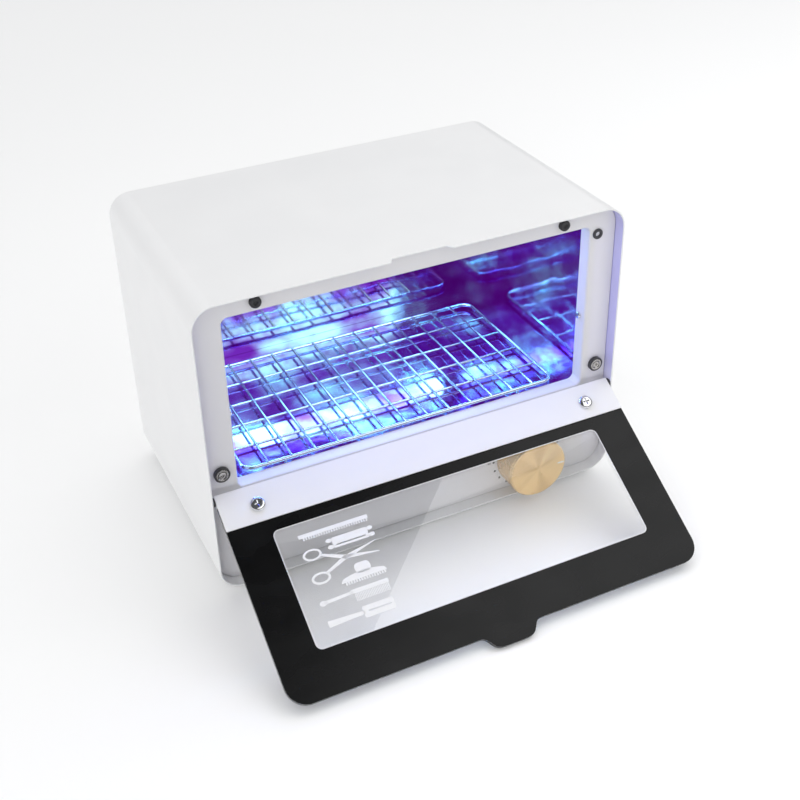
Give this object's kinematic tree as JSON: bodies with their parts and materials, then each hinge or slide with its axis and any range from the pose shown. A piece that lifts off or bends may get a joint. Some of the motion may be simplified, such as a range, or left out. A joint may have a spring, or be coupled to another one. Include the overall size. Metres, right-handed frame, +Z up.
{
  "type": "ultraviolet sterilizer cabinet",
  "caption": "Countertop salon sterilizer cabinet: rounded white steel case, drop-down clear door, mirror-lined chamber with wire tray and ultraviolet tube, timer knob.",
  "frame": {"origin": "centre of the bounding box at table level, with the door folded down", "axes": "+Z up, the door faces -Y and folds down towards -Y, +X to the viewer's right, timer on the right"},
  "size_m": [0.34, 0.3528, 0.246],
  "materials": {
    "white_powder_coat": "fine satin powder coat on steel sheet",
    "mirror_stainless": "mirror polished stainless sheet",
    "tray_wire": "bright plated round wire",
    "zinc_steel": "zinc plated, dull",
    "chrome_screw": "polished",
    "magnet_nickel": "nickel plated",
    "gold_aluminium": "gold anodised, spun face and brushed side",
    "white_plastic": "satin",
    "black_plastic": "satin",
    "black_rubber": "matt",
    "lead_sleeving": "flexible sleeving",
    "uv_glass": "lit ultraviolet tube",
    "clear_acrylic": "clear polished sheet",
    "black_border": "satin black print"
  },
  "bodies": {
    "cabinet": {"outer_sleeve": "white_powder_coat", "front_fascia": "white_powder_coat", "back_panel": "white_powder_coat", "liner_wrap": "mirror_stainless", "liner_ceiling": "mirror_stainless", "liner_back": "mirror_stainless", "lamp_reflector": "mirror_stainless", "ballast": "zinc_steel", "tube_cap_left": "zinc_steel", "tube_cap_right": "zinc_steel", "hinge_pin_left": "zinc_steel", "hinge_pin_right": "zinc_steel", "back_screw_low_left": "zinc_steel", "back_screw_low_right": "zinc_steel", "back_screw_high_left": "zinc_steel", "back_screw_high_right": "zinc_steel", "foot_screw_front_left": "zinc_steel", "foot_screw_front_right": "zinc_steel", "foot_screw_rear_left": "zinc_steel", "foot_screw_rear_right": "zinc_steel", "magnet_screw_left": "chrome_screw", "magnet_screw_right": "chrome_screw", "magnet_left": "magnet_nickel", "magnet_right": "magnet_nickel", "timer_body": "white_plastic", "lamp_socket_left": "white_plastic", "lamp_socket_right": "white_plastic", "starter_holder": "white_plastic", "starter_can": "white_plastic", "terminal_block": "white_plastic", "power_inlet": "black_plastic", "switch_bezel": "black_plastic", "switch_body": "black_plastic", "hinge_bush_left": "black_plastic", "hinge_bush_right": "black_plastic", "bumper_left": "black_rubber", "bumper_right": "black_rubber", "foot_front_left": "black_rubber", "foot_front_right": "black_rubber", "foot_rear_left": "black_rubber", "foot_rear_right": "black_rubber", "mains_lead": "lead_sleeving", "timer_lead": "lead_sleeving", "lamp_lead_left": "lead_sleeving", "lamp_lead_right": "lead_sleeving", "uv_tube": "uv_glass"},
    "door": {"door_panel": "clear_acrylic", "door_border": "black_border", "hinge_strip": "white_powder_coat", "strip_screw_left": "chrome_screw", "strip_screw_right": "chrome_screw", "cap_nut_left": "chrome_screw", "cap_nut_right": "chrome_screw"},
    "timer_dial": {"timer_knob": "gold_aluminium", "knob_pointer": "white_plastic", "timer_shaft": "zinc_steel"},
    "door_switch": {"switch_plunger": "white_plastic"},
    "tray": {"wire_tray": "tray_wire"}
  },
  "joints": [
    {"name": "door_hinge", "type": "hinge", "parent": "cabinet", "child": "door", "pos_m": [0, -0.03271, 0.0875], "axis": [-1, 0, 0], "range_deg": [0, 120.8]},
    {"name": "timer_turn", "type": "hinge", "parent": "cabinet", "child": "timer_dial", "pos_m": [0.094, -0.04091, 0.0364], "axis": [0, 1, 0], "range_deg": [0, 266]},
    {"name": "switch_press", "type": "slide", "parent": "cabinet", "child": "door_switch", "axis": [0, 1, 0], "range_m": [0, 0.002], "stiffness_N_per_m": 120, "springref_m": -0.001},
    {"name": "tray_lift", "type": "slide", "parent": "cabinet", "child": "tray", "axis": [0, 0, 1], "range_m": [0, 0.06]}
  ]
}
